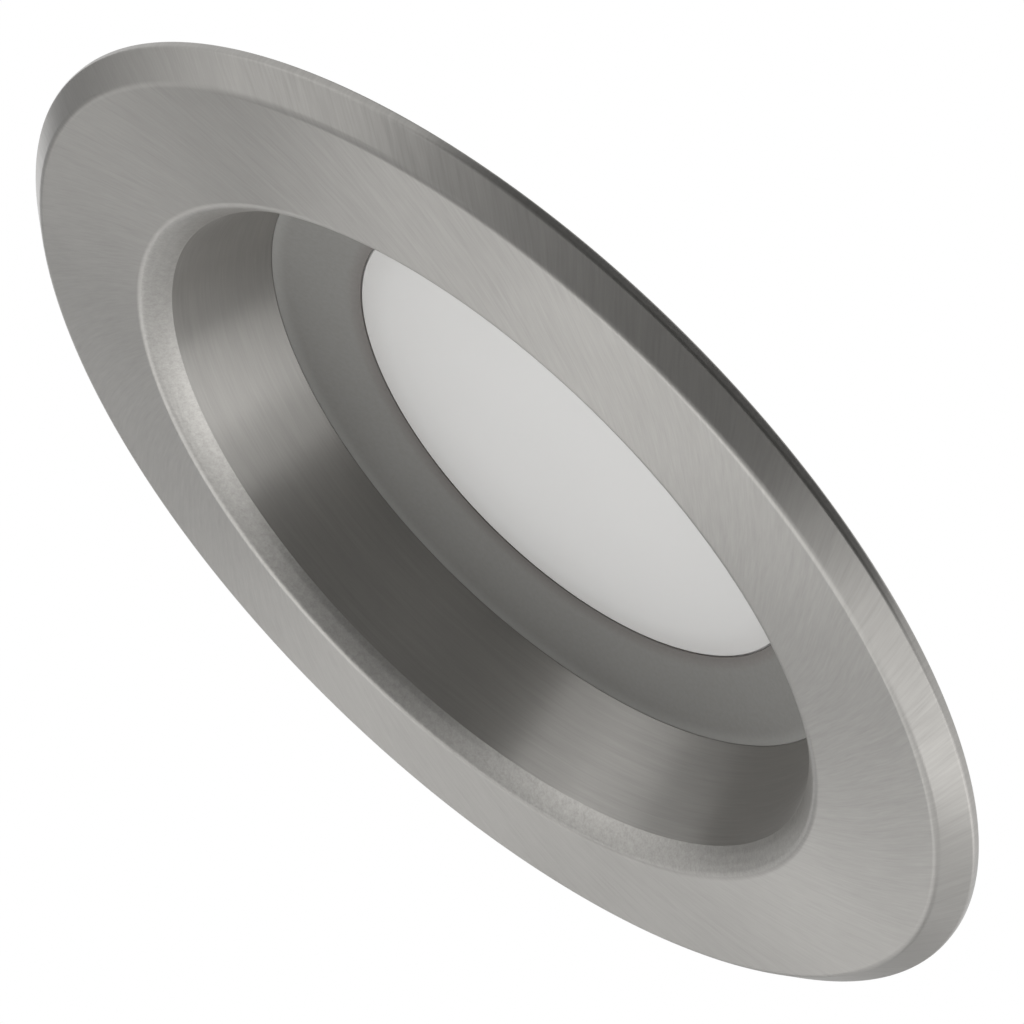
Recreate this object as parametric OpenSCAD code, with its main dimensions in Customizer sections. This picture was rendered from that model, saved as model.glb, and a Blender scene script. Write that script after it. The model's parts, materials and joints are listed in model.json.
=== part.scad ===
// Recessed soffit downlight, 4 inch class, with sprung clips and its driver on the light board.
// The origin is the centre of the soffit plane, +Z points up into the soffit, light leaves
// along -Z. All lengths are in millimetres.

/* [Flange] */
// Outside diameter of the flange, which all other rings follow by their widths
flange_d = 134; // [110:1:160]
// Width of the flange's flat face
face_w = 15.65; // [12:0.05:24]
// Height of the upright edge round the flange
flange_edge_h = 1; // [0.6:0.1:2]
// Width of the sloped rim, seen from below
bevel_w = 3; // [1.5:0.1:5]
// Height of the sloped rim
bevel_h = 2.4; // [1.6:0.1:3]
// Thickness of the flange plate
flange_wall = 1.6; // [1.2:0.1:2]
// Width of the lip round the gasket's recess
flange_lip_w = 2; // [1.2:0.1:3]

/* [Recess] */
// Width of the chamfer at the mouth
mouth_cut_w = 2.5; // [1:0.1:4]
// Height of the chamfer at the mouth
mouth_cut_h = 2.6; // [2:0.1:3]
// How much narrower the cone's top is than its foot, on each side
cone_flare_w = 3.85; // [1:0.05:6]
// Depth from the flange's face to the top of the cone
cone_depth = 15.3; // [14.4:0.1:18]
// Wall of the cone
neck_wall = 1.5; // [1.2:0.1:2]

/* [Lens] */
// Width of the lens ring, seen from below
ring_w = 10.45; // [8:0.05:16]
// How far the lens ring rises from the cone to the lens
ring_rise = 3.35; // [2.8:0.05:4]
// Thickness of the lens ring at its rim and its ledge
ring_t = 0.4; // [0.3:0.05:0.6]
// How far the lens ring stands down inside the cone
ring_lip_h = 0.35; // [0.2:0.05:0.5]
// How far the lens reaches over the ring's ledge
lens_lap = 1.1; // [0.8:0.1:1.4]
// Thickness of the lens
lens_t = 1; // [0.8:0.1:1.2]
// Thickness of the gasket's skirt under the lens
lens_gasket_t = 0.25; // [0.2:0.05:0.4]
// Thickness of the seal between the lens ring and the heat sink
seal_t = 0.4; // [0.2:0.05:0.5]

/* [Light board] */
// Width of the board's edge outside the emitters
board_edge_w = 3.3; // [2.6:0.1:6]
// Thickness of the light board
board_t = 1; // [0.8:0.1:1.6]
// Free height between the lens and the board
lens_to_board = 3.3; // [3.2:0.1:5]
// Thickness of the thermal pad
pad_t = 0.4; // [0.2:0.1:1]
// Emitters in the outer ring
outer_chips = 20; // [12:1:24]
// Side of an emitter
chip_w = 3; // [2:0.1:3.4]
// Height of an emitter
chip_h = 0.8; // [0.5:0.1:1.2]
// Diameter of the hole for the wires
wire_hole_d = 7.4; // [6.8:0.1:8]

/* [Heat sink] */
// Thickness of the heat sink's roof
roof_t = 1.6; // [1.2:0.1:2.4]
// Width of the heat sink's foot
sink_foot_w = 1.6; // [1.2:0.1:1.7]
// Number of fins, every second one short
fin_count = 24; // [12:2:28]
// Thickness of a fin
fin_t = 1.2; // [0.8:0.1:1.6]
// Height of the fins over the roof
fin_h = 6.4; // [5:0.1:7.2]

/* [Cable inlet] */
// Bore of the cable grommet
grommet_bore_d = 6.5; // [5:0.1:6.8]
// Diameter of the hole that holds the grommet
grommet_hole_d = 10; // [9:0.1:10.4]
// Height of the grommet over the boss
grommet_top_h = 2.4; // [1.6:0.1:3.2]

/* [Spring clips] */
// Thinnest soffit board that the clips grip
soffit_min_t = 5; // [4.6:0.1:7]
// Reach of a clip arm from its pivot
arm_reach = 12.7; // [11.6:0.1:14]
// Width of a clip arm
arm_w = 14.6; // [13.6:0.1:16]
// Thickness of the rubber pad
pad_rubber_t = 1.5; // [1.2:0.1:2.4]
// Sheet thickness of arms and brackets
sheet_t = 0.9; // [0.7:0.1:1]
// Diameter of the pivot pin
pin_d = 2.4; // [2:0.1:2.6]
// Wire of the torsion spring
wire_d = 0.8; // [0.6:0.05:0.85]
// Free gap between two turns of the spring
turn_gap = 0.5; // [0.45:0.05:0.6]
// Whole turns of the spring, besides its last quarter
spring_turns = 7; // [4:1:7]

/* [Screws] */
// Shank of the housing screws
screw_d = 2.5; // [2:0.1:3]
// Head of the housing screws
screw_head_d = 5; // [4.4:0.1:5.4]
// Height of the housing screws' heads
screw_head_h = 1.5; // [1.2:0.1:1.8]
// Shank of the bracket and board screws
small_screw_d = 2.2; // [1.8:0.1:2.4]
// Head of the bracket and board screws
small_head_d = 4; // [3.4:0.1:4.2]
// Height of the bracket and board screws' heads
small_head_h = 1.3; // [1:0.1:1.6]

/* [Hidden] */
$fn = 96;

// Fits that the whole part shares
overrun = 1;
loose_gap = 0.3;
snug_gap = 0.05;

// Colours
nickel = "silver";
matte_grey = "gray";
frosted = "whitesmoke";
cast_grey = "lightslategray";
rubber_black = "dimgray";
steel_grey = "lightsteelblue";
spring_steel = "slategray";
board_white = "white";
chip_yellow = "khaki";
package_black = "darkslategray";
varistor_blue = "steelblue";
ceramic_tan = "tan";
terminal_ivory = "ivory";
pad_blue = "lightblue";
silicone_brown = "rosybrown";

// Heights of the flange and the cone
face_z = -(flange_edge_h + bevel_h);
plate_z = face_z + flange_wall;
cone_foot_z = face_z + mouth_cut_h;
cone_top_z = face_z + cone_depth;

// Radii of the flange and the cone
flange_r = flange_d / 2;
face_r = flange_r - bevel_w;
lip_r = flange_r - flange_lip_w;
mouth_r = face_r - face_w;
cone_foot_r = mouth_r - mouth_cut_w;
cone_end_r = cone_foot_r - cone_flare_w;
cone_taper = (cone_foot_r - cone_end_r) / (cone_top_z - cone_foot_z);
neck_flare_w = 1.5;
neck_flare_z = 0.4;

function cone_r(z) = cone_end_r + cone_taper * (cone_top_z - z);
function neck_r(z) = cone_r(z) + neck_wall;

// Lens ring, lens and gasket
lens_open_r = cone_end_r - ring_w;
lens_r = lens_open_r + lens_lap;
lens_edge_z = cone_top_z + ring_rise;
ledge_z = lens_edge_z + ring_t;
lens_z = ledge_z + lens_gasket_t;
lens_top_z = lens_z + lens_t;
ring_rim_z = cone_top_z + ring_t;
ring_rim_r = neck_r(cone_top_z) - loose_gap;
ring_rim_in = 0.7;
gasket_wall = 0.8;
gasket_wall_h = 0.4;
gasket_in_r = lens_open_r + loose_gap;
gasket_out_r = lens_r + snug_gap + gasket_wall;
gasket_top_z = lens_z + gasket_wall_h;

// Light board, from its wire hole outwards: driver parts, two rings of emitters, its edge
board_z = lens_top_z + lens_to_board;
board_top_z = board_z + board_t;
roof_z = board_top_z + pad_t;
terminal_size = [5.5, 8, 2.8];
wire_room_w = 1.75;
parts_r = wire_hole_d / 2 + wire_room_w + terminal_size.x / 2;
parts_gap = 1.15;
inner_chips = 12;
inner_chip_r = parts_r + terminal_size.x / 2 + parts_gap + chip_w / 2;
chip_ring_gap = 2.6;
outer_chip_r = inner_chip_r + chip_w + chip_ring_gap;
board_r = outer_chip_r + chip_w / 2 + board_edge_w;
board_screw_count = 3;
board_screw_turn = -90;
board_screw_len = 3.4;
terminal_port_d = 1.6;
terminal_turn = -90;
rectifier_size = [4, 4.7, 2.3];
rectifier_turn = -10;
driver_size = [3.9, 4.9, 1.5];
driver_turns = [148, 196];
leg_w = 0.45;
leg_h = 0.3;
leg_reach = 0.6;
legs_a_side = 4;
leg_pitch = 1.15;
varistor_d = 5.4;
varistor_h = 2;
varistor_turn = 45;
fuse_d = 2.2;
fuse_l = 5.5;
fuse_cap_l = 1.2;
fuse_cap_t = 0.1;
fuse_turn = 95;

// Reflector
reflector_wall_w = 1;
reflector_foot_in = 0.2;
chip_clear = 0.9;
reflector_low_r = lens_open_r - reflector_foot_in;
reflector_top_r = outer_chip_r + chip_w / 2 + chip_clear;

// Heat sink
roof_top_z = roof_z + roof_t;
sink_foot_z = ring_rim_z + seal_t;
sink_foot_in = 0.5;
sink_foot_r = neck_r(cone_top_z) - sink_foot_in;
sink_knee_gap = 0.6;
sink_knee_wall = 1.3;
sink_knee_r = max(gasket_out_r, board_r) + sink_knee_gap;
sink_shoulder_in = 0.5;
sink_shoulder_r = board_r - sink_shoulder_in;
sink_slope = (roof_top_z - sink_foot_z) / (sink_foot_r - sink_shoulder_r);
sink_line_z = sink_foot_z + sink_slope * (sink_foot_r - sink_knee_r);
sink_knee_z = max(sink_line_z, gasket_top_z + sink_knee_wall);
sink_pocket_h = 0.2;
board_boss_wall = 1.6;
board_boss_r = small_screw_d / 2 + board_boss_wall;
short_fin_in = 4.6;
short_fin_share = 0.6;
fin_top_share = 0.22;
short_fin_top_share = 0.31;
fin_root = 0.4;
fin_set_in = 0.3;

// Cable inlet
inlet_plate_t = 1.6;
inlet_room_h = 3;
inlet_plate_z = roof_z + inlet_room_h;
inlet_top_z = inlet_plate_z + inlet_plate_t;
grommet_hole_r = grommet_hole_d / 2;
grommet_lip_w = 1.6;
grommet_lip_h = 1.4;
grommet_taper_w = 1.4;
grommet_taper_h = 1;
grommet_lip_r = grommet_hole_r + grommet_lip_w;
inlet_wall = 1.4;
inlet_room_r = grommet_lip_r + loose_gap;
inlet_boss_r = inlet_room_r + inlet_wall;

// Housing screws and the ears that they hold
housing_screw_count = 3;
housing_screw_turn = -90;
ear_t = 1.5;
ear_web_t = 1.3;
ear_rise = 1.3;
boss_drop = 1.3;
boss_wall = 1.75;
boss_r = screw_d / 2 + boss_wall;
boss_top_z = cone_top_z - boss_drop;
ear_in_r = neck_r(boss_top_z) + loose_gap;
ear_web_r = ear_in_r + ear_web_t;
housing_screw_r = ear_web_r + snug_gap + screw_head_d / 2;
screw_depth = 5;
screw_rest = 0.5;
socket_share = 0.6;
socket_depth_share = 0.5;

// Soffit gasket
soffit_gasket_in_r = housing_screw_r + boss_r + loose_gap;
soffit_gasket_out_r = lip_r - loose_gap;

// Clip brackets
foot_z = 6;
foot_side = 4.2;
foot_wall = 1.6;
foot_boss_r = small_screw_d / 2 + foot_wall;
foot_screw_r = neck_r(foot_z) + snug_gap + small_head_d / 2;
foot_depth = 4;
bracket_wall_gap = 0.35;
cheek_gap = 0.4;
arm_side = arm_w / 2;
cheek_in = arm_side + cheek_gap;
cheek_out = cheek_in + sheet_t;
foot_y = cheek_out + foot_side;
foot_x = sqrt(foot_screw_r * foot_screw_r - foot_y * foot_y);
plate_in_x = neck_r(foot_z) + bracket_wall_gap;
plate_out_x = plate_in_x + sheet_t;
nose_r = pin_d / 2 + sheet_t + loose_gap;

// Pivot, pin and spring
pin_r = pin_d / 2;
pin_head_w = 0.72;
pin_head_r = pin_r + pin_head_w;
pin_head_t = 0.7;
pin_tail = 1.4;
clip_disc_t = 0.5;
clip_groove = 0.3;
clip_disc_w = 1.3;
coil_pin_gap = 0.25;
coil_plate_gap = 0.45;
coil_r = pin_r + coil_pin_gap + wire_d / 2;
coil_out_r = coil_r + wire_d / 2;
coil_pitch = wire_d + turn_gap;
quarter_turn_share = 0.25;
coil_turns = spring_turns + quarter_turn_share;
coil_start_y = -coil_pitch * coil_turns / 2;
pivot_x = plate_out_x + coil_plate_gap + coil_out_r;
web_z = soffit_min_t + pad_rubber_t;
web_top_z = web_z + sheet_t;
pivot_z = web_top_z + snug_gap + coil_out_r;
arm_leg_l = 8.2;
plate_leg_l = 3.6;
plate_leg_lean = asin((coil_plate_gap - snug_gap) / plate_leg_l);
bracket_top_z = pivot_z + plate_leg_l + snug_gap;

// Clip arm and its pad
lug_r = nose_r - snug_gap;
web_gap = 0.81;
web_start = coil_out_r + web_gap;
tip_rise = 1.4;
cheek_tip_h = 0.8;
heel_h = 1.8;
arm_tip_x = pivot_x + arm_reach;
pad_l = 6.2;
pad_tip = 1.2;
pad_side = 1.5;
pad_x = arm_tip_x - pad_tip - pad_l;
pad_groove_w = 0.8;
pad_groove_h = 0.5;
pad_grooves = 3;
stud_r = 1;
stud_head_r = 1.7;
stud_head_h = 0.6;
stud_side = 1.6;

// Turning shapes to the two sides and round the axis
module left_side() {
    rotate([0, 0, 180]) children();
}

module around(count, start) {
    for (i = [0:count - 1]) rotate([0, 0, start + i * 360 / count]) children();
}

// A shape drawn in X and Z, with its thickness along Y from y to y + t
module side_plate(y, t) {
    translate([0, y + t, 0]) rotate([90, 0, 0]) linear_extrude(t) children();
}

// A cylinder along Y, centred on x and z
module cross_rod(x, z, y, l, r) {
    translate([x, y + l, z]) rotate([90, 0, 0]) cylinder(h = l, r = r);
}

// A pan head screw that points down, its head's underside at the origin
module screw_down(d, length, head_d, head_h) {
    difference() {
        union() {
            translate([0, 0, -length]) cylinder(h = length, d = d);
            cylinder(h = head_h, d = head_d);
        }
        translate([0, 0, head_h * (1 - socket_depth_share)])
            cylinder(h = head_h, d = d * socket_share, $fn = 6);
    }
}

// Everything inside the recess, from the mouth to the top of the cone
module recess_space() {
    rotate_extrude() polygon([
        [0, face_z - overrun],
        [mouth_r, face_z - overrun],
        [mouth_r, face_z],
        [cone_foot_r, cone_foot_z],
        [cone_end_r, cone_top_z],
        [cone_end_r, cone_top_z + overrun],
        [0, cone_top_z + overrun]]);
}

module trim_body() {
    rotate_extrude() polygon([
        [0, face_z],
        [face_r, face_z],
        [flange_r, face_z + bevel_h],
        [flange_r, 0],
        [lip_r, 0],
        [lip_r, plate_z],
        [neck_r(plate_z) + neck_flare_w, plate_z],
        [neck_r(neck_flare_z), neck_flare_z],
        [neck_r(cone_top_z), cone_top_z],
        [0, cone_top_z]]);
}

module foot_places() {
    for (turn = [0, 180], side = [-1, 1])
        rotate([0, 0, turn]) translate([foot_x, side * foot_y, 0]) children();
}

module trim() {
    color(nickel) difference() {
        union() {
            trim_body();
            around(housing_screw_count, housing_screw_turn)
                translate([housing_screw_r, 0, plate_z]) cylinder(h = boss_top_z - plate_z, r = boss_r);
            foot_places()
                translate([0, 0, plate_z]) cylinder(h = foot_z - plate_z, r = foot_boss_r);
        }
        recess_space();
        around(housing_screw_count, housing_screw_turn)
            translate([housing_screw_r, 0, boss_top_z - screw_depth - screw_rest])
                cylinder(h = screw_depth + screw_rest + overrun, r = screw_d / 2 + snug_gap);
        foot_places()
            translate([0, 0, foot_z - foot_depth])
                cylinder(h = foot_depth + overrun, r = small_screw_d / 2 + snug_gap);
    }
}

module soffit_gasket() {
    color(rubber_black) rotate_extrude() polygon([
        [soffit_gasket_in_r, plate_z],
        [soffit_gasket_out_r, plate_z],
        [soffit_gasket_out_r, 0],
        [soffit_gasket_in_r, 0]]);
}

module lens_ring() {
    color(matte_grey) rotate_extrude() polygon([
        [ring_rim_r, cone_top_z],
        [cone_end_r - snug_gap, cone_top_z],
        [cone_end_r - loose_gap, cone_top_z - ring_lip_h],
        [lens_open_r, lens_edge_z],
        [lens_open_r, ledge_z],
        [gasket_out_r, ledge_z],
        [cone_end_r - ring_rim_in, ring_rim_z],
        [ring_rim_r, ring_rim_z]]);
}

module lens_gasket() {
    color(silicone_brown) rotate_extrude() polygon([
        [gasket_in_r, ledge_z],
        [gasket_out_r, ledge_z],
        [gasket_out_r, gasket_top_z],
        [lens_r + snug_gap, gasket_top_z],
        [lens_r + snug_gap, lens_z],
        [gasket_in_r, lens_z]]);
}

module diffuser_lens() {
    color(frosted) translate([0, 0, lens_z]) cylinder(h = lens_t, r = lens_r);
}

module housing_seal() {
    color(rubber_black) rotate_extrude() polygon([
        [sink_foot_r - sink_foot_w, ring_rim_z],
        [sink_foot_r, ring_rim_z],
        [sink_foot_r, sink_foot_z],
        [sink_foot_r - sink_foot_w, sink_foot_z]]);
}

module reflector() {
    color(board_white) rotate_extrude() polygon([
        [reflector_low_r, lens_top_z],
        [reflector_low_r + reflector_wall_w, lens_top_z],
        [reflector_top_r + reflector_wall_w, board_z],
        [reflector_top_r, board_z]]);
}

module board_screw_places() {
    around(board_screw_count, board_screw_turn) translate([inner_chip_r, 0, 0]) children();
}

module led_board() {
    color(board_white) difference() {
        translate([0, 0, board_z]) cylinder(h = board_t, r = board_r);
        translate([0, 0, board_z - overrun]) cylinder(h = board_t + 2 * overrun, d = wire_hole_d);
        board_screw_places()
            translate([0, 0, board_z - overrun])
                cylinder(h = board_t + 2 * overrun, r = small_screw_d / 2 + snug_gap);
    }
}

module chip() {
    translate([-chip_w / 2, -chip_w / 2, board_z - chip_h]) cube([chip_w, chip_w, chip_h]);
}

// Every fourth place of the inner ring holds a board screw instead of an emitter
module led_chips() {
    color(chip_yellow) {
        around(outer_chips, 0) translate([outer_chip_r, 0, 0]) chip();
        for (i = [0:inner_chips - 1])
            if (i % (inner_chips / board_screw_count) != 0)
                rotate([0, 0, board_screw_turn + i * 360 / inner_chips])
                    translate([inner_chip_r, 0, 0]) chip();
    }
}

// A block under the board, at its own turn round the wire hole
module board_block(turn, size) {
    rotate([0, 0, turn]) translate([parts_r, 0, board_z - size.z / 2]) cube(size, center = true);
}

// Bent leads along both long sides of a block
module board_leads(turn, size) {
    rotate([0, 0, turn]) for (side = [-1, 1], i = [0:legs_a_side - 1])
        translate([
            parts_r + side * (size.x + leg_reach) / 2,
            (i - (legs_a_side - 1) / 2) * leg_pitch,
            board_z - leg_h / 2])
            cube([leg_reach, leg_w, leg_h], center = true);
}

module rectifier() {
    color(package_black) union() {
        board_block(rectifier_turn, rectifier_size);
        board_leads(rectifier_turn, rectifier_size);
    }
}

module driver_chips() {
    color(package_black) for (turn = driver_turns) union() {
        board_block(turn, driver_size);
        board_leads(turn, driver_size);
    }
}

module varistor() {
    color(varistor_blue) rotate([0, 0, varistor_turn])
        translate([parts_r, 0, board_z - varistor_h]) cylinder(h = varistor_h, d = varistor_d);
}

module fuse() {
    low_z = board_z - fuse_d / 2 - fuse_cap_t;
    color(ceramic_tan) rotate([0, 0, fuse_turn]) union() {
        cross_rod(parts_r, low_z, -fuse_l / 2, fuse_l, fuse_d / 2);
        cross_rod(parts_r, low_z, -fuse_l / 2, fuse_cap_l, fuse_d / 2 + fuse_cap_t);
        cross_rod(parts_r, low_z, fuse_l / 2 - fuse_cap_l, fuse_cap_l, fuse_d / 2 + fuse_cap_t);
    }
}

module wire_terminal() {
    port_z = board_z - terminal_size.z / 2;
    color(terminal_ivory) difference() {
        board_block(terminal_turn, terminal_size);
        rotate([0, 0, terminal_turn]) for (side = [-1, 1])
            translate([parts_r - terminal_size.x / 2 - overrun, side * terminal_size.y / 4, port_z])
                rotate([0, 90, 0]) cylinder(h = terminal_size.x / 2 + overrun, d = terminal_port_d);
    }
}

module board_screws() {
    color(steel_grey) board_screw_places() translate([0, 0, board_z])
        rotate([180, 0, 0]) screw_down(small_screw_d, board_screw_len, small_head_d, small_head_h);
}

module thermal_pad() {
    color(pad_blue) difference() {
        translate([0, 0, board_top_z]) cylinder(h = pad_t, r = board_r - loose_gap);
        translate([0, 0, board_top_z - overrun]) cylinder(h = pad_t + 2 * overrun, r = inlet_room_r);
        board_screw_places()
            translate([0, 0, board_top_z - overrun])
                cylinder(h = pad_t + 2 * overrun, r = small_screw_d / 2 + loose_gap);
    }
}

// The room under the heat sink for the lens, the reflector and the board
module sink_space() {
    rotate_extrude() polygon([
        [0, sink_foot_z - overrun],
        [sink_foot_r - sink_foot_w, sink_foot_z - overrun],
        [sink_foot_r - sink_foot_w, sink_foot_z],
        [sink_knee_r, gasket_top_z],
        [max(lens_r, board_r) + loose_gap, lens_top_z + snug_gap],
        [board_r + loose_gap, roof_z - sink_pocket_h],
        [board_r + loose_gap, roof_z],
        [0, roof_z]]);
}

module sink_body() {
    rotate_extrude() polygon([
        [0, sink_foot_z],
        [sink_foot_r, sink_foot_z],
        [sink_knee_r, sink_knee_z],
        [sink_shoulder_r, roof_top_z],
        [0, roof_top_z]]);
}

// A fin whose outer edge goes on with the slope of the heat sink's side
module fin(start_r, h, top_share) {
    end_r = sink_shoulder_r - fin_set_in;
    top_z = roof_top_z + h;
    rotate([90, 0, 0]) linear_extrude(fin_t, center = true) polygon([
        [start_r, roof_top_z - fin_root],
        [start_r, top_z],
        [start_r + top_share * (end_r - start_r), top_z],
        [end_r, roof_top_z],
        [end_r, roof_top_z - fin_root]]);
}

// An ear stands on a boss of the trim and reaches over the lens ring to the heat sink's side
module sink_ear() {
    translate([housing_screw_r, 0, boss_top_z]) cylinder(h = ear_t, r = boss_r);
    translate([ear_in_r, -boss_r, boss_top_z])
        cube([housing_screw_r - ear_in_r, 2 * boss_r, ear_t]);
    translate([ear_in_r, -boss_r, boss_top_z])
        cube([ear_web_t, 2 * boss_r, sink_foot_z + ear_rise - boss_top_z]);
    translate([sink_knee_r, -boss_r, sink_foot_z + snug_gap])
        cube([ear_web_r - sink_knee_r, 2 * boss_r, ear_rise - snug_gap]);
}

module heat_sink() {
    boss_h = board_z + board_screw_len + screw_rest - roof_top_z;
    color(cast_grey) difference() {
        union() {
            sink_body();
            around(fin_count / 2, 0) fin(inlet_boss_r - fin_root, fin_h, fin_top_share);
            around(fin_count / 2, 360 / fin_count)
                fin(inlet_boss_r + short_fin_in, fin_h * short_fin_share, short_fin_top_share);
            translate([0, 0, roof_z]) cylinder(h = inlet_top_z - roof_z, r = inlet_boss_r);
            board_screw_places()
                translate([0, 0, roof_z]) cylinder(h = roof_t + boss_h + roof_t, r = board_boss_r);
            around(housing_screw_count, housing_screw_turn) sink_ear();
        }
        sink_space();
        translate([0, 0, roof_z - overrun]) cylinder(h = inlet_room_h + overrun, r = inlet_room_r);
        translate([0, 0, roof_z]) cylinder(h = inlet_top_z - roof_z + overrun, r = grommet_hole_r);
        board_screw_places()
            translate([0, 0, roof_z - overrun])
                cylinder(h = roof_t + boss_h + overrun, r = small_screw_d / 2 + snug_gap);
        around(housing_screw_count, housing_screw_turn)
            translate([housing_screw_r, 0, boss_top_z - overrun])
                cylinder(h = ear_t + 2 * overrun, r = screw_d / 2 + snug_gap);
    }
}

module housing_screws() {
    color(steel_grey) around(housing_screw_count, housing_screw_turn)
        translate([housing_screw_r, 0, boss_top_z + ear_t])
            screw_down(screw_d, ear_t + screw_depth, screw_head_d, screw_head_h);
}

module cable_grommet() {
    top_z = inlet_top_z + grommet_top_h;
    neck = grommet_hole_r - snug_gap;
    color(rubber_black) rotate_extrude() polygon([
        [grommet_bore_d / 2, inlet_plate_z - grommet_lip_h],
        [grommet_lip_r, inlet_plate_z - grommet_lip_h],
        [grommet_lip_r, inlet_plate_z],
        [neck, inlet_plate_z],
        [neck, inlet_top_z],
        [grommet_lip_r, inlet_top_z],
        [grommet_lip_r, top_z - grommet_taper_h],
        [grommet_lip_r - grommet_taper_w, top_z],
        [grommet_bore_d / 2, top_z]]);
}

module bracket_screws() {
    color(steel_grey) foot_places() translate([0, 0, foot_z + sheet_t])
        screw_down(small_screw_d, sheet_t + foot_depth - screw_rest, small_head_d, small_head_h);
}

// Side of the bracket: a post with a round nose at the pivot
module bracket_cheek() {
    difference() {
        union() {
            polygon([
                [plate_in_x, foot_z],
                [plate_in_x, bracket_top_z],
                [plate_out_x + sheet_t, bracket_top_z],
                [pivot_x + nose_r * cos(45), pivot_z + nose_r * sin(45)],
                [pivot_x, pivot_z],
                [pivot_x, foot_z]]);
            translate([pivot_x, pivot_z]) circle(nose_r);
        }
        translate([pivot_x, pivot_z]) circle(pin_r + snug_gap / 2);
    }
}

module bracket_foot() {
    translate([foot_x, foot_y, foot_z]) cylinder(h = sheet_t, r = foot_boss_r);
    translate([foot_x - foot_boss_r, cheek_in, foot_z])
        cube([2 * foot_boss_r, foot_y - cheek_in, sheet_t]);
}

module clip_bracket() {
    color(steel_grey) difference() {
        union() {
            side_plate(cheek_in, sheet_t) bracket_cheek();
            side_plate(-cheek_out, sheet_t) bracket_cheek();
            translate([plate_in_x, -cheek_out, foot_z])
                cube([sheet_t, 2 * cheek_out, bracket_top_z - foot_z]);
            bracket_foot();
            mirror([0, 1, 0]) bracket_foot();
        }
        translate([0, 0, foot_z - overrun])
            cylinder(h = sheet_t + 2 * overrun, r = neck_r(foot_z) + snug_gap);
        for (side = [-1, 1]) translate([foot_x, side * foot_y, foot_z - overrun])
            cylinder(h = sheet_t + 2 * overrun, r = small_screw_d / 2 + snug_gap);
    }
}

module pivot_pin() {
    head_y = cheek_out + snug_gap;
    tail_y = -head_y - pin_tail;
    color(steel_grey) difference() {
        union() {
            cross_rod(pivot_x, pivot_z, tail_y, head_y - tail_y, pin_r);
            cross_rod(pivot_x, pivot_z, head_y, pin_head_t, pin_head_r);
        }
        difference() {
            cross_rod(pivot_x, pivot_z, -head_y - clip_disc_t, clip_disc_t, pin_r + overrun);
            cross_rod(pivot_x, pivot_z, -head_y - clip_disc_t, clip_disc_t, pin_r - clip_groove);
        }
    }
}

// The retaining clip is an open ring in the pin's groove
module pin_clip() {
    disc_y = -cheek_out - snug_gap - clip_disc_t;
    slot_r = pin_r - clip_groove + snug_gap;
    color(spring_steel) difference() {
        cross_rod(pivot_x, pivot_z, disc_y + snug_gap / 2, clip_disc_t - snug_gap, pin_r + clip_disc_w);
        cross_rod(pivot_x, pivot_z, disc_y - overrun, clip_disc_t + 2 * overrun, slot_r);
        translate([pivot_x - slot_r, disc_y - overrun, pivot_z])
            cube([2 * slot_r, clip_disc_t + 2 * overrun, pin_r + clip_disc_w + overrun]);
    }
}

// Centre line of the spring: the leg on the arm, the coil, then the leg on the bracket
wire_sides = 6;
function coil_angle(t) = 270 - 360 * coil_turns * t + plate_leg_lean * t;
function coil_point(t) = [
    pivot_x + coil_r * cos(coil_angle(t)),
    coil_start_y + coil_pitch * coil_turns * t,
    pivot_z + coil_r * sin(coil_angle(t))];
rings_a_turn = 8;
coil_steps = rings_a_turn * coil_turns;
coil_line = [for (i = [0:coil_steps]) coil_point(i / coil_steps)];
coil_end = coil_line[len(coil_line) - 1];
arm_leg_end = [pivot_x + arm_leg_l, coil_start_y, pivot_z - coil_r];
plate_leg_end = coil_end + plate_leg_l * [-sin(plate_leg_lean), 0, cos(plate_leg_lean)];
spring_line = concat([arm_leg_end], coil_line, [plate_leg_end]);

// Least free gap between turns, over all pairs of centre points most of a turn apart
far_steps = 6;
turn_gaps = [for (i = [0:len(coil_line) - 1 - far_steps], j = [i + far_steps:len(coil_line) - 1])
    norm(coil_line[i] - coil_line[j]) - wire_d];
echo(least_spring_gap = min(turn_gaps));

function unit(v) = v / norm(v);
function line_way(line, i) =
    unit(line[min(i + 1, len(line) - 1)] - line[max(i - 1, 0)]);
function ring_at(line, i, r, sides) =
    let (way = line_way(line, i), side = unit([0, 1, 0] - way.y * way), up = cross(way, side))
    [for (k = [0:sides - 1]) line[i] + r * (cos(k * 360 / sides) * side + sin(k * 360 / sides) * up)];

// One closed tube along a line of points, its faces all triangles
module tube(line, d, sides) {
    last = len(line) - 1;
    points = [for (i = [0:last]) each ring_at(line, i, d / 2, sides)];
    walls = [for (i = [0:last - 1], k = [0:sides - 1])
        let (a = i * sides + k, b = i * sides + (k + 1) % sides)
        each [[a, a + sides, b], [b, a + sides, b + sides]]];
    caps = [for (k = [1:sides - 2]) each [
        [0, k, k + 1],
        [last * sides, last * sides + k + 1, last * sides + k]]];
    polyhedron(points = points, faces = concat(walls, caps));
}

module torsion_spring() {
    color(spring_steel) tube(spring_line, wire_d, wire_sides);
}

// Side of the arm: a lug at the pivot, a heel that stops on the bracket, a tapering flank
module arm_cheek() {
    heel_x = plate_out_x + snug_gap;
    difference() {
        union() {
            translate([pivot_x, pivot_z]) circle(lug_r);
            polygon([
                [pivot_x, pivot_z + lug_r],
                [pivot_x + lug_r, pivot_z + lug_r / 2],
                [arm_tip_x, web_top_z + cheek_tip_h],
                [arm_tip_x, web_z],
                [heel_x, web_z],
                [heel_x, web_z + heel_h],
                [pivot_x - lug_r, pivot_z]]);
        }
        translate([pivot_x, pivot_z]) circle(pin_r + snug_gap);
    }
}

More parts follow.
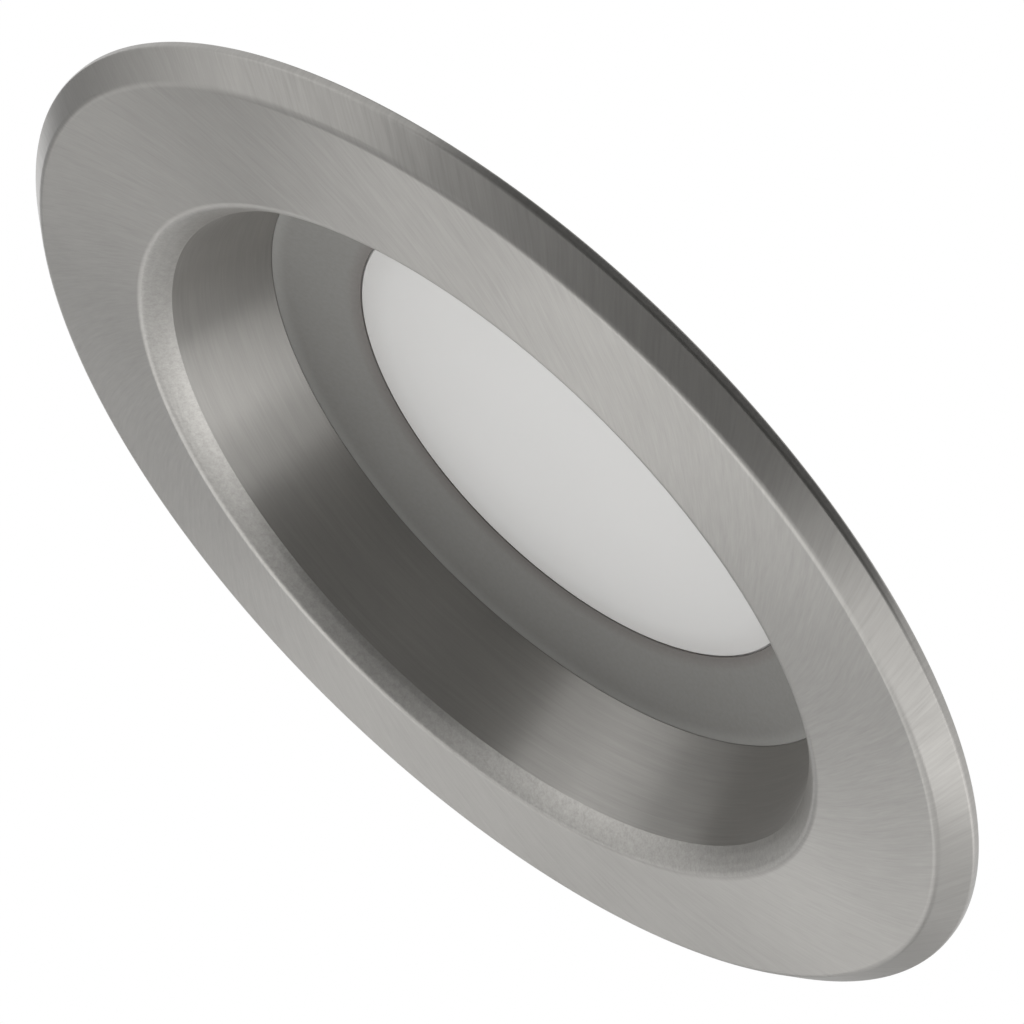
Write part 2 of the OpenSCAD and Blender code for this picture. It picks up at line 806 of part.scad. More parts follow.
module clip_arm() {
    color(steel_grey) difference() {
        union() {
            side_plate(arm_side - sheet_t, sheet_t) arm_cheek();
            side_plate(-arm_side, sheet_t) arm_cheek();
            translate([pivot_x + web_start, -arm_side, web_z])
                cube([arm_reach - web_start, arm_w, sheet_t]);
            translate([arm_tip_x - sheet_t, -arm_side, web_z])
                cube([sheet_t, arm_w, sheet_t + tip_rise]);
        }
        translate([pad_x + pad_l / 2, stud_side, web_z - overrun])
            cylinder(h = sheet_t + 2 * overrun, r = stud_r + snug_gap);
    }
}

// Rubber foot under the arm, grooved across, held by a stud through the arm
module clip_pad() {
    half_w = arm_side - pad_side;
    color(rubber_black) union() {
        difference() {
            translate([pad_x, -half_w, soffit_min_t]) cube([pad_l, 2 * half_w, pad_rubber_t]);
            for (i = [1:pad_grooves])
                translate([pad_x + i * pad_l / (pad_grooves + 1) - pad_groove_w / 2,
                    -half_w - overrun, soffit_min_t - overrun])
                    cube([pad_groove_w, 2 * (half_w + overrun), pad_groove_h + overrun]);
        }
        translate([pad_x + pad_l / 2, stud_side, web_z]) cylinder(h = sheet_t, r = stud_r);
        translate([pad_x + pad_l / 2, stud_side, web_top_z]) cylinder(h = stud_head_h, r = stud_head_r);
    }
}

module clip_bracket_right() { clip_bracket(); }
module pivot_pin_right() { pivot_pin(); }
module pin_clip_right() { pin_clip(); }
module torsion_spring_right() { torsion_spring(); }
module clip_arm_right() { clip_arm(); }
module clip_pad_right() { clip_pad(); }
module clip_bracket_left() { left_side() clip_bracket(); }
module pivot_pin_left() { left_side() pivot_pin(); }
module pin_clip_left() { left_side() pin_clip(); }
module torsion_spring_left() { left_side() torsion_spring(); }
module clip_arm_left() { left_side() clip_arm(); }
module clip_pad_left() { left_side() clip_pad(); }

trim();
soffit_gasket();
lens_ring();
lens_gasket();
diffuser_lens();
housing_seal();
reflector();
led_board();
led_chips();
rectifier();
driver_chips();
varistor();
fuse();
wire_terminal();
board_screws();
thermal_pad();
heat_sink();
housing_screws();
cable_grommet();
bracket_screws();
clip_bracket_right();
pivot_pin_right();
pin_clip_right();
torsion_spring_right();
clip_arm_right();
clip_pad_right();
clip_bracket_left();
pivot_pin_left();
pin_clip_left();
torsion_spring_left();
clip_arm_left();
clip_pad_left();
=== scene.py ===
"""Looks of the soffit downlight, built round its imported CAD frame.

Scene lengths are in metres. The sizes of the turned pieces and springs are in millimetres.
"""

import json
import math

import bpy
from mathutils import Matrix, Vector


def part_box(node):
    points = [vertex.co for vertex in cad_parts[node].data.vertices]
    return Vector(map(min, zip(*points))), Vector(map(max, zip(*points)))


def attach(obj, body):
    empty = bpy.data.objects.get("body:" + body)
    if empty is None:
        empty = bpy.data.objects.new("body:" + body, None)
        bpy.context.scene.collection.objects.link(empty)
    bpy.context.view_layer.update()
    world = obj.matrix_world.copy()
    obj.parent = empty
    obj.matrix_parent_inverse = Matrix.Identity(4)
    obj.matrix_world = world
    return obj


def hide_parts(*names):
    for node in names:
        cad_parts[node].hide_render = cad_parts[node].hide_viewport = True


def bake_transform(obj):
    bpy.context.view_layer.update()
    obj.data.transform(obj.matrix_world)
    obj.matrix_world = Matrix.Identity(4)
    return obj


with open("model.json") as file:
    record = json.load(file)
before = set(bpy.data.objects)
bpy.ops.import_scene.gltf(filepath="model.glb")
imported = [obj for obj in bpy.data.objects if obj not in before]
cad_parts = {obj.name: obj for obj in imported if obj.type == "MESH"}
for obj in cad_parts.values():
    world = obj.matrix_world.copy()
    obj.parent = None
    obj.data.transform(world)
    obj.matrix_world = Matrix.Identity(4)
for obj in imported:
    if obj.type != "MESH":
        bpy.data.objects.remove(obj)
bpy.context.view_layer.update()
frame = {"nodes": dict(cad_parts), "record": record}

MM = 0.001


def box_mm(node):
    """A node's lowest and highest corner in millimetres."""
    low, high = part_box(node)
    return [x / MM for x in low], [x / MM for x in high]


def direction(azimuth, elevation):
    """Unit vector toward an azimuth and an elevation in degrees."""
    a, e = math.radians(azimuth), math.radians(elevation)
    return Vector((math.cos(a) * math.cos(e), math.sin(a) * math.cos(e), math.sin(e)))


def new_mesh(name, vertices, faces, materials):
    mesh = bpy.data.meshes.new(name)
    mesh.from_pydata(vertices, [], faces)
    for material in materials:
        mesh.materials.append(material)
    return mesh


def new_object(name, data):
    thing = bpy.data.objects.new(name, data)
    bpy.context.scene.collection.objects.link(thing)
    return thing


# Camera: below the light on its +Y side, at the photograph's angle and roll

TRIM_LOW, TRIM_HIGH = box_mm("trim")
FLANGE_R = TRIM_HIGH[0]
FACE_Z = TRIM_LOW[2]
VIEW_DISTANCE = 5.475 * FLANGE_R * MM
VIEW_RISE = math.radians(22.94)
VIEW_YAW = math.radians(0.06)
VIEW_PITCH = math.radians(1.16)
VIEW_ROLL = math.radians(135.15)
SENSOR_WIDTH = 36
FOCAL_PIXELS = 3329.5
IMAGE_PIXELS = 1024


def make_camera():
    """Aims at the flange's centre, then turns by the yaw, the pitch and the roll."""
    face = Vector((0, 0, FACE_Z * MM))
    away = Vector((0, math.cos(VIEW_RISE), -math.sin(VIEW_RISE)))
    forward = -away
    right = Vector((1, 0, 0))
    up = right.cross(forward)
    turned_right = right * math.cos(VIEW_YAW) + forward * math.sin(VIEW_YAW)
    turned_forward = forward * math.cos(VIEW_YAW) - right * math.sin(VIEW_YAW)
    tilted_up = up * math.cos(VIEW_PITCH) + turned_forward * math.sin(VIEW_PITCH)
    ahead = turned_forward * math.cos(VIEW_PITCH) - up * math.sin(VIEW_PITCH)
    x_axis = turned_right * math.cos(VIEW_ROLL) - tilted_up * math.sin(VIEW_ROLL)
    y_axis = turned_right * math.sin(VIEW_ROLL) + tilted_up * math.cos(VIEW_ROLL)
    data = bpy.data.cameras.new("Camera")
    data.sensor_width = SENSOR_WIDTH
    data.lens = SENSOR_WIDTH * FOCAL_PIXELS / IMAGE_PIXELS
    data.clip_start = 0.01
    data.clip_end = 60
    camera = new_object("Camera", data)
    turn = Matrix((x_axis, y_axis, -ahead)).transposed().to_4x4()
    camera.matrix_world = Matrix.Translation(face + away * VIEW_DISTANCE) @ turn
    bpy.context.scene.camera = camera


# Node helpers

# Most of a noise texture's values lie between these two
NOISE_LOW, NOISE_HIGH = 0.3, 0.7


class Nodes:
    """Short calls for building one material's or the world's node tree."""

    def __init__(self, tree):
        self.tree = tree
        tree.nodes.clear()

    def add(self, kind, inputs=(), **settings):
        node = self.tree.nodes.new(kind)
        for name, value in settings.items():
            setattr(node, name, value)
        for key, value in dict(inputs).items():
            self.set(node, key, value)
        return node

    def set(self, node, key, value):
        if isinstance(value, bpy.types.NodeSocket):
            self.tree.links.new(value, node.inputs[key])
        else:
            node.inputs[key].default_value = value

    def math(self, operation, *values):
        node = self.add("ShaderNodeMath", dict(enumerate(values)), operation=operation)
        return node.outputs[0]

    def vector(self, operation, *values):
        node = self.add("ShaderNodeVectorMath", dict(enumerate(values)), operation=operation)
        return node.outputs["Value" if operation == "LENGTH" else "Vector"]

    def combine(self, x, y, z):
        return self.add("ShaderNodeCombineXYZ", {0: x, 1: y, 2: z}).outputs[0]

    def split(self, vector):
        return self.add("ShaderNodeSeparateXYZ", {0: vector}).outputs

    def stretch(self, numbers, scales):
        """A vector of three numbers, each times its scale."""
        return self.combine(*(self.math("MULTIPLY", v, s) for v, s in zip(numbers, scales)))

    def turn(self, vector, angle):
        """A vector turned round the Z axis."""
        inputs = {"Vector": vector, "Angle": angle}
        return self.add("ShaderNodeVectorRotate", inputs, rotation_type="Z_AXIS").outputs[0]

    def axis_distance(self, x, y):
        """How far a point lies from the Z axis."""
        return self.vector("LENGTH", self.combine(x, y, 0.0))

    def axis_way(self, x, y):
        """Unit vector from the Z axis to a point."""
        return self.vector("NORMALIZE", self.combine(x, y, 0.0))

    def noise(self, vector, scale, detail, roughness=0.5):
        inputs = {"Vector": vector, "Scale": scale, "Detail": detail, "Roughness": roughness}
        return self.add("ShaderNodeTexNoise", inputs).outputs["Fac"]

    def weigh(self, first, second, share):
        """The sum of two values, the first taken at its share and the second at the rest."""
        return self.math(
            "ADD", self.math("MULTIPLY", first, share), self.math("MULTIPLY", second, 1 - share)
        )

    def span(self, value, low, high, to_low=0.0, to_high=1.0, kind="LINEAR"):
        inputs = {
            "Value": value,
            "From Min": low,
            "From Max": high,
            "To Min": to_low,
            "To Max": to_high,
        }
        return self.add("ShaderNodeMapRange", inputs, interpolation_type=kind).outputs["Result"]

    def contrast(self, value, to_low=0.0, to_high=1.0):
        """A noise value drawn out over its whole span."""
        return self.span(value, NOISE_LOW, NOISE_HIGH, to_low, to_high)

    def shade(self, factor, dark, light):
        """A colour between two others, each of them three numbers or a socket."""
        node = self.add("ShaderNodeMix", {0: factor}, data_type="RGBA")
        for key, colour in ((6, dark), (7, light)):
            is_socket = isinstance(colour, bpy.types.NodeSocket)
            self.set(node, key, colour if is_socket else (*colour, 1))
        return node.outputs[2]

    def place(self):
        """The point on the piece in the object's own space, as a vector and three numbers."""
        point = self.add("ShaderNodeTexCoord").outputs["Object"]
        x, y, z = self.split(point)
        return point, x, y, z

    def bump(self, height, depth, strength, normal=None):
        inputs = {"Height": height, "Distance": depth, "Strength": strength}
        if normal is not None:
            inputs["Normal"] = normal
        return self.add("ShaderNodeBump", inputs).outputs[0]

    def soft_edge(self, radius):
        """Normals rounded at the edges of sheet metal and mouldings."""
        return self.add("ShaderNodeBevel", {"Radius": radius}, samples=4).outputs[0]

    def surface(self, **sockets):
        shader = self.add("ShaderNodeBsdfPrincipled")
        for name, value in sockets.items():
            self.set(shader, name.replace("_", " "), value)
        self.add("ShaderNodeOutputMaterial", {"Surface": shader.outputs[0]})


def new_material(name):
    material = bpy.data.materials.new(name)
    material.use_nodes = True
    return material, Nodes(material.node_tree)


def spread(colour, share):
    """A darker and a lighter neighbour of a colour."""
    return [c * (1 - share) for c in colour], [min(1, c * (1 + share)) for c in colour]


# Nickel plate. The strokes on the flange lie across it at 45 degrees, like a swirl: the noise
# that draws them is turned by the logarithm of the distance from the axis.

FLANGE_NICKEL = (0.347, 0.338, 0.3225)
CONE_NICKEL = (0.38, 0.37, 0.353)
MOUTH_NICKEL = (0.365, 0.356, 0.339)
BACK_NICKEL = (0.37, 0.36, 0.345), (0.47, 0.46, 0.44)
SWIRL_R = 0.056
SWIRL_TURN = math.radians(135)
SWIRL_WANDER = 0.05


def brushed_flange():
    """Face and bevel of the flange."""
    material, n = new_material("nickel_flange")
    point, x, y, _ = n.place()
    way = n.axis_way(x, y)
    out = n.math("LOGARITHM", n.math("DIVIDE", n.axis_distance(x, y), SWIRL_R), math.e)
    wander = n.math("MULTIPLY", n.noise(point, 50, 1), SWIRL_WANDER)
    swirl = n.split(n.turn(way, n.math("ADD", out, wander)))

    def strokes(across, along):
        spot = n.stretch((swirl[0], swirl[1], out), (across, across, along))
        return n.noise(spot, 1, 2, 0.65)

    lines = n.weigh(strokes(190, 22), strokes(60, 9), 0.6)
    tone = n.weigh(lines, n.noise(point, 45, 2), 0.75)
    n.surface(
        Base_Color=n.shade(n.contrast(tone), *spread(FLANGE_NICKEL, 0.1)),
        Metallic=1.0,
        Roughness=n.contrast(tone, 0.39, 0.34),
        Anisotropic=0.9,
        Anisotropic_Rotation=0.25,
        Tangent=n.turn(way, SWIRL_TURN),
        Normal=n.bump(lines, 0.000008, 0.35),
    )
    return material


def brushed_cone():
    """The tapered wall, with strokes that run round it."""
    material, n = new_material("nickel_cone")
    _, x, y, z = n.place()
    way = n.split(n.axis_way(x, y))
    run = n.math("SUBTRACT", z, n.axis_distance(x, y))

    def strokes(along, across):
        return n.noise(n.stretch((way[0], way[1], run), (along, along, across)), 1, 2, 0.6)

    tone = n.weigh(strokes(5.0, 4200), strokes(3.0, 900), 0.55)
    round_axis = n.combine(n.math("MULTIPLY", y, -1.0), x, 0.0)
    n.surface(
        Base_Color=n.shade(n.contrast(tone), *spread(CONE_NICKEL, 0.07)),
        Metallic=1.0,
        Roughness=n.contrast(tone, 0.4, 0.35),
        Anisotropic=0.95,
        Anisotropic_Rotation=0.25,
        Tangent=n.vector("NORMALIZE", round_axis),
        Normal=n.bump(tone, 0.00001, 0.4),
    )
    return material


def blasted_mouth():
    """The chamfer at the mouth, left grainy by the blasting."""
    material, n = new_material("nickel_mouth")
    point = n.place()[0]
    tone = n.weigh(n.noise(point, 3400, 3, 0.7), n.noise(point, 1300, 2, 0.6), 0.6)
    n.surface(
        Base_Color=n.shade(n.span(tone, 0.32, 0.68), *spread(MOUTH_NICKEL, 0.15)),
        Metallic=1.0,
        Roughness=0.4,
        Normal=n.bump(tone, 0.00004, 0.6),
    )
    return material


def plated_back():
    """The casting's unbrushed back."""
    material, n = new_material("nickel_back")
    point = n.place()[0]
    skin = n.noise(point, 900, 3, 0.6)
    tone = n.weigh(skin, n.noise(point, 70, 2), 0.4)
    n.surface(
        Base_Color=n.shade(n.contrast(tone), *BACK_NICKEL),
        Metallic=1.0,
        Roughness=n.contrast(tone, 0.5, 0.38),
        Normal=n.bump(skin, 0.00004, 0.4),
    )
    return material


def painted(name, colour, roughness, edge=0.0):
    """Paint, moulded plastic or rubber with a fine skin."""
    material, n = new_material(name)
    point = n.place()[0]
    skin = n.noise(point, 1500, 2, 0.6)
    tone = n.weigh(skin, n.noise(point, 80, 2), 0.5)
    n.surface(
        Base_Color=n.shade(n.contrast(tone), *spread(colour, 0.06)),
        Roughness=n.contrast(skin, roughness + 0.05, roughness - 0.05),
        Normal=n.bump(skin, 0.00002, 0.6, n.soft_edge(edge) if edge else None),
    )
    return material


def foam(name, colour):
    """Closed-cell foam with small open pores on its cut faces."""
    material, n = new_material(name)
    point = n.place()[0]
    cells = n.add("ShaderNodeTexVoronoi", {"Vector": point, "Scale": 1500.0, "Randomness": 1.0})
    pores = n.span(cells.outputs["Distance"], 0.1, 0.55)
    tone = n.weigh(pores, n.noise(point, 120, 2), 0.7)
    n.surface(
        Base_Color=n.shade(tone, *spread(colour, 0.45)),
        Roughness=0.85,
        Normal=n.bump(pores, 0.00012, 0.7),
    )
    return material


def cast_metal(name, colour):
    """Die-cast aluminium with a fine skin, faint flow marks and soft edges."""
    material, n = new_material(name)
    point = n.place()[0]
    skin = n.noise(point, 1400, 4, 0.65)
    tone = n.weigh(skin, n.noise(point, 130, 3, 0.6), 0.45)
    n.surface(
        Base_Color=n.shade(n.contrast(tone), *spread(colour, 0.16)),
        Metallic=0.9,
        Roughness=n.contrast(tone, 0.6, 0.46),
        Normal=n.bump(skin, 0.00006, 0.5, n.soft_edge(0.00025)),
    )
    return material


def plated(name, colour, roughness, edge, along=0):
    """Zinc or nickel plate on sheet and wire, rolled along one axis, with faint spangle."""
    material, n = new_material(name)
    point, *numbers = n.place()
    scales = [2600, 2600, 2600]
    scales[along] = 160
    lines = n.noise(n.stretch(numbers, scales), 1, 2, 0.6)
    tone = n.weigh(lines, n.noise(point, 260, 3, 0.6), 0.4)
    n.surface(
        Base_Color=n.shade(n.contrast(tone), *spread(colour, 0.14)),
        Metallic=1.0,
        Roughness=n.contrast(tone, roughness + 0.08, roughness - 0.06),
        Normal=n.bump(lines, 0.00001, 0.5, n.soft_edge(edge) if edge else None),
    )
    return material


LENS_WHITE = (0.768, 0.763, 0.75), (0.786, 0.781, 0.768)
# Painted shade: the grey that the lens's edge is painted toward, between these two radii, where
# the recess shades it
LENS_EDGE_SHADE_GREY = (0.64, 0.63, 0.615)
LENS_EDGE_SHADE_FROM, LENS_EDGE_SHADE_TO = 0.027, 0.0314


def frosted_lens():
    """Opal white, with painted shade that greys it toward its edge."""
    material, n = new_material("lens_opal")
    point, x, y, _ = n.place()
    frost = n.noise(point, 2200, 2, 0.6)
    white = n.shade(n.contrast(n.noise(point, 40, 1)), *LENS_WHITE)
    flat = n.axis_distance(x, y)
    # Painted shade, growing toward the lens's edge
    edge = n.span(flat, LENS_EDGE_SHADE_FROM, LENS_EDGE_SHADE_TO, 0.0, 0.5, "SMOOTHSTEP")
    n.surface(
        Base_Color=n.shade(edge, white, LENS_EDGE_SHADE_GREY),
        Roughness=n.contrast(frost, 0.5, 0.42),
        Subsurface_Weight=0.15,
        Subsurface_Radius=(0.002, 0.002, 0.002),
        Normal=n.bump(frost, 0.000008, 0.4),
    )
    return material


RING_GREY = (0.221, 0.217, 0.204), (0.241, 0.237, 0.224)
# Painted shade with a faint warm tint: the darker colour round the lens, between these two radii
RING_INNER_SHADE_BROWN = (0.18, 0.162, 0.152)
RING_INNER_SHADE_FROM, RING_INNER_SHADE_TO = 0.0316, 0.0333
# Painted highlight: the lighter colour of the ring's outer lip, between these two radii
RING_LIP_HIGHLIGHT = (0.34, 0.336, 0.322)
RING_LIP_HIGHLIGHT_FROM, RING_LIP_HIGHLIGHT_TO = 0.0402, 0.0418


def matte_ring():
    """Matte grey paint; painted shade, faintly warm, round the lens and a thin painted highlight
    at the outer lip.
    """
    material, n = new_material("ring_grey")
    point, x, y, _ = n.place()
    skin = n.noise(point, 1800, 2, 0.6)
    paint = n.shade(n.contrast(n.weigh(skin, n.noise(point, 60, 2), 0.5)), *RING_GREY)
    flat = n.axis_distance(x, y)
    # Painted shade round the lens
    inner_shade = n.span(flat, RING_INNER_SHADE_FROM, RING_INNER_SHADE_TO, 0.7, 0.0, "SMOOTHSTEP")
    # Painted highlight at the outer lip
    lip = n.span(flat, RING_LIP_HIGHLIGHT_FROM, RING_LIP_HIGHLIGHT_TO, 0.0, 0.55, "SMOOTHSTEP")
    n.surface(
        Base_Color=n.shade(lip, n.shade(inner_shade, paint, RING_INNER_SHADE_BROWN), RING_LIP_HIGHLIGHT),
        Roughness=n.contrast(skin, 0.66, 0.56),
        Normal=n.bump(skin, 0.00001, 0.5),
    )
    return material


# Turned pieces

# The angle of one step round a corner, the longest reach of a rounding as a share of its
# shorter side, and what counts as no corner, on the axis and no length
ROUND_STEP = math.radians(7)
LONGEST_REACH = 0.49
STRAIGHT = 1e-4
ON_AXIS = 1e-6
TOUCHING = 1e-7


def fillet_profile(corners):
    """Closed outline with rounded corners.

    A corner is (r, z, radius, surface): the surface number is that of the side after it.
    Corners run with the solid on their left. A point of the outline is its place, its outward
    direction, its surface and whether it ends the side before a sharp corner. A corner with no
    radius gives two points, one for each direction.
    """
    count = len(corners)
    points = []
    for i, (r, z, radius, surface) in enumerate(corners):
        here = Vector((r, z))
        before = Vector(corners[i - 1][:2])
        after = Vector(corners[(i + 1) % count][:2])
        into = (here - before).normalized()
        out = (after - here).normalized()
        turn = math.atan2(into.x * out.y - into.y * out.x, into.dot(out))
        came = corners[i - 1][3]
        if radius <= 0 or abs(turn) < STRAIGHT:
            points.append((here, Vector((into.y, -into.x)), came, True))
            points.append((here, Vector((out.y, -out.x)), surface, False))
            continue
        reach = radius * math.tan(abs(turn) / 2)
        room = LONGEST_REACH * min((here - before).length, (after - here).length)
        if reach > room:
            radius *= room / reach
            reach = room
        start = here - into * reach
        side = Vector((-into.y, into.x)) * (1 if turn > 0 else -1)
        centre = start + side * radius
        steps = max(2, math.ceil(abs(turn) / ROUND_STEP))
        for k in range(steps + 1):
            angle = turn * k / steps
            c, s = math.cos(angle), math.sin(angle)
            arm = start - centre
            spot = centre + Vector((arm.x * c - arm.y * s, arm.x * s + arm.y * c))
            way = Vector((into.y, -into.x))
            normal = Vector((way.x * c - way.y * s, way.x * s + way.y * c))
            owner = came if k < steps / 2 else surface
            points.append((spot, normal, owner, False))
    return points


class Shape:
    """Vertices with their normals and faces with their material, gathered into one mesh."""

    def __init__(self):
        self.vertices, self.normals, self.faces, self.owners = [], [], [], []

    def turn(self, corners, turns, place=(0, 0, 0)):
        """Adds a body turned round an upright axis at a place, all in millimetres."""
        profile = fillet_profile(corners)
        rows = []
        for spot, normal, _, _ in profile:
            start = len(self.vertices)
            if spot.x < ON_AXIS:
                rows.append([start] * turns)
                self.vertices.append([c * MM for c in (place[0], place[1], place[2] + spot.y)])
                self.normals.append((0, 0, math.copysign(1, normal.y)))
                continue
            rows.append(list(range(start, start + turns)))
            for j in range(turns):
                angle = 2 * math.pi * j / turns
                c, s = math.cos(angle), math.sin(angle)
                point = (place[0] + spot.x * c, place[1] + spot.x * s, place[2] + spot.y)
                self.vertices.append([v * MM for v in point])
                self.normals.append((normal.x * c, normal.x * s, normal.y))
        for i, (here, _, owner, ends_side) in enumerate(profile):
            k = (i + 1) % len(rows)
            there = profile[k][0]
            apart = (here - there).length >= TOUCHING
            if ends_side or not apart or max(here.x, there.x) < ON_AXIS:
                continue
            for j in range(turns):
                m = (j + 1) % turns
                # A face that ends on the axis is a triangle
                ring = [rows[i][j], rows[i][m], rows[k][m], rows[k][j]]
                self.faces.append([v for q, v in enumerate(ring) if v not in ring[:q]])
                self.owners.append(owner)

    def make(self, name, materials):
        """The object, with its faces turned outward and the outline's own normals."""
        mesh = new_mesh(name, self.vertices, self.faces, materials)
        mesh.polygons.foreach_set("material_index", self.owners)
        mesh.polygons.foreach_set("use_smooth", [True] * len(mesh.polygons))
        mesh.update()
        sample = mesh.polygons[0]
        want = sum((Vector(self.normals[v]) for v in sample.vertices), Vector())
        if sample.normal.dot(want) < 0:
            mesh.flip_normals()
        mesh.normals_split_custom_set_from_vertices(self.normals)
        return new_object(name, mesh)


def finish_piece(piece, body, slot, *nodes):
    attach(piece, body)
    if nodes:
        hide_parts(*nodes)


# The trim's materials in their order, then how many faces go round a piece
FLANGE, CONE, MOUTH, BACK = range(4)
RING_TURNS, BOSS_TURNS = 480, 64

# Radii (R), widths (W), heights (H) and heights above the soffit's underside (Z) of the trim.
# The chamfer passes through two points, out and down from the cone's foot, which bow it
# slightly. A BOSS takes a screw of the heat sink and a FOOT one of the clips. Their foot
# reaches past their flare and into the plate by the margin.
BEVEL_W, BEVEL_H = 3, 2.4
MOUTH_R = 48.35
CHAMFER_W, CHAMFER_H = 2.5, 2.6
CHAMFER_BOW = ((0.61, 0.79), (1.44, 1.65))
CONE_FOOT_R = MOUTH_R - CHAMFER_W
CONE_FOOT_Z = FACE_Z + CHAMFER_H
CONE_END_R = 42.0
CONE_TOP_Z = 11.9
WALL = 1.5
LEAST_WALL = 0.6
PLATE_Z = -1.8
RIM_WALL_R = 65
NECK_FOOT_R = 49.15
NECK_KNEE_R, NECK_KNEE_Z = 46.99, 0.4
BOSS_R, BOSS_TOP_Z, BOSS_PLACE_R, BOSS_FLARE = 3.0, 10.6, 48.04, 0.22
BOSS_AZIMUTHS = (-90, 30, 150)
FOOT_R, FOOT_TOP_Z, FOOT_PLACE, FOOT_FLARE = 2.7, 6.0, (45.58, 12.8), 0.8
BOSS_MARGIN, BOSS_EDGE = 0.1, 0.2


def cone_r(z):
    """The cone's radius at a height."""
    return CONE_END_R + (CONE_FOOT_R - CONE_END_R) * (CONE_TOP_Z - z) / (CONE_TOP_Z - CONE_FOOT_Z)


def boss_profile(radius, top_z, flare):
    """A cast boss that stands on the flange plate."""
    low_z = PLATE_Z - BOSS_MARGIN
    foot_r = radius + flare + BOSS_MARGIN
    return [
        (0, low_z, 0, BACK),
        (foot_r, low_z, 0, BACK),
        (foot_r, PLATE_Z, 0, BACK),
        (radius, PLATE_Z, flare, BACK),
        (radius, top_z, BOSS_EDGE, BACK),
        (0, top_z, 0, BACK),
    ]


def inside_wall(point):
    """Draws what a boss shares with the neck back into the thickness of the wall."""
    least = cone_r(max(point.z, CONE_FOOT_Z)) + max(0, CONE_FOOT_Z - point.z) + LEAST_WALL
    flat = Vector((point.x, point.y, 0))
    if flat.length >= least:
        return point
    flat *= least / flat.length
    return Vector((flat.x, flat.y, point.z))


def make_trim(materials):
    """Flange, chamfered mouth, cone and neck in one turned body, with its cast bosses."""
    shape = Shape()
    for azimuth in BOSS_AZIMUTHS:
        spot = Vector((BOSS_PLACE_R, 0, 0))
        spot.rotate(Matrix.Rotation(math.radians(azimuth), 3, "Z"))
        shape.turn(boss_profile(BOSS_R, BOSS_TOP_Z, BOSS_FLARE), BOSS_TURNS, spot)
    for x in (-1, 1):
        for y in (-1, 1):
            spot = (x * FOOT_PLACE[0], y * FOOT_PLACE[1], 0)
            shape.turn(boss_profile(FOOT_R, FOOT_TOP_Z, FOOT_FLARE), BOSS_TURNS, spot)
    shape.vertices = [inside_wall(Vector(v) / MM) * MM for v in shape.vertices]
    bow = [(CONE_FOOT_R + w, CONE_FOOT_Z - h, 6, MOUTH) for w, h in CHAMFER_BOW]
    outer = [
        (CONE_FOOT_R, CONE_FOOT_Z, 0.1, MOUTH),
        *bow,
        (MOUTH_R, FACE_Z, 1.9, FLANGE),
        (FLANGE_R - BEVEL_W, FACE_Z, 1.5, FLANGE),
        (FLANGE_R, FACE_Z + BEVEL_H, 0.5, FLANGE),
        (FLANGE_R, 0, 0.35, BACK),
        (RIM_WALL_R, 0, 0.12, BACK),
        (RIM_WALL_R, PLATE_Z, 0.2, BACK),
        (NECK_FOOT_R, PLATE_Z, 0.3, BACK),
        (NECK_KNEE_R, NECK_KNEE_Z, 1.5, BACK),
        (CONE_END_R + WALL, CONE_TOP_Z, 0.1, BACK),
        (CONE_END_R, CONE_TOP_Z, 0.1, CONE),
    ]
    shape.turn(outer, RING_TURNS)
    finish_piece(shape.make("trim_dressed", materials), "housing", "nickel_trim", "trim")


RING_OPEN_R = 31.55
RING_FACE_Z, RING_LEDGE_Z = 15.45, 15.65
RING_FLANGE_Z = 12.3


def make_lens_ring(material):
    """The matte ring, with a rounded lip in the cone and a rounded edge round the lens."""
    shape = Shape()
    shape.turn(
        [
            (RING_OPEN_R, RING_FACE_Z, 0.1, 0),
            (RING_OPEN_R + 0.35, RING_FACE_Z - 0.25, 1.5, 0),
            (RING_OPEN_R + 1, RING_FACE_Z - 0.55, 2, 0),
            (CONE_END_R - 0.03, CONE_TOP_Z - 0.08, 0.05, 0),
            (CONE_END_R - 0.05, CONE_TOP_Z, 0.02, 0),
            (CONE_END_R + 1.2, CONE_TOP_Z, 0.05, 0),
            (CONE_END_R + 1.2, RING_FLANGE_Z, 0.05, 0),
            (CONE_END_R - 0.7, RING_FLANGE_Z, 0.3, 0),
            (RING_OPEN_R + 1.95, RING_LEDGE_Z, 0.2, 0),
            (RING_OPEN_R, RING_LEDGE_Z, 0.06, 0),
        ],
        RING_TURNS,
    )
    finish_piece(shape.make("lens_ring_dressed", [material]), "housing", "ring_grey", "lens_ring")


LENS_R = RING_OPEN_R + 1.1
LENS_PAD_R = RING_OPEN_R - 0.16
LENS_PAD_Z, LENS_FACE_Z, LENS_BACK_Z = 15.5, 15.9, 16.9


def make_lens(material):
    """The frosted disc, with a pad that stands into the ring's opening."""
    shape = Shape()
    shape.turn(
        [
            (0, LENS_PAD_Z, 0, 0),
            (LENS_PAD_R, LENS_PAD_Z, 0.15, 0),
            (LENS_PAD_R, LENS_FACE_Z, 0.05, 0),
            (LENS_R, LENS_FACE_Z, 0.15, 0),
            (LENS_R, LENS_BACK_Z, 0.15, 0),
            (0, LENS_BACK_Z, 0, 0),
        ],
        RING_TURNS,
    )
    finish_piece(shape.make("lens_dressed", [material]), "housing", "lens_opal", "diffuser_lens")


# Torsion springs: the right clip's pivot, the wire, the coil and its two legs

PIVOT = Vector((49.238583, 0, 9.7))
COIL_R = 1.85
WIRE_R = 0.4
TURNS = 7.25
PITCH = 1.3
ARM_LEG, BRACKET_LEG = 8.2, 3.6
BRACKET_GAP = 0.4
LEAN = math.asin(BRACKET_GAP / BRACKET_LEG)
ARM_LEG_STEPS, TURN_STEPS, BRACKET_LEG_STEPS = 9, 32, 5
WIRE_SIDES = 12


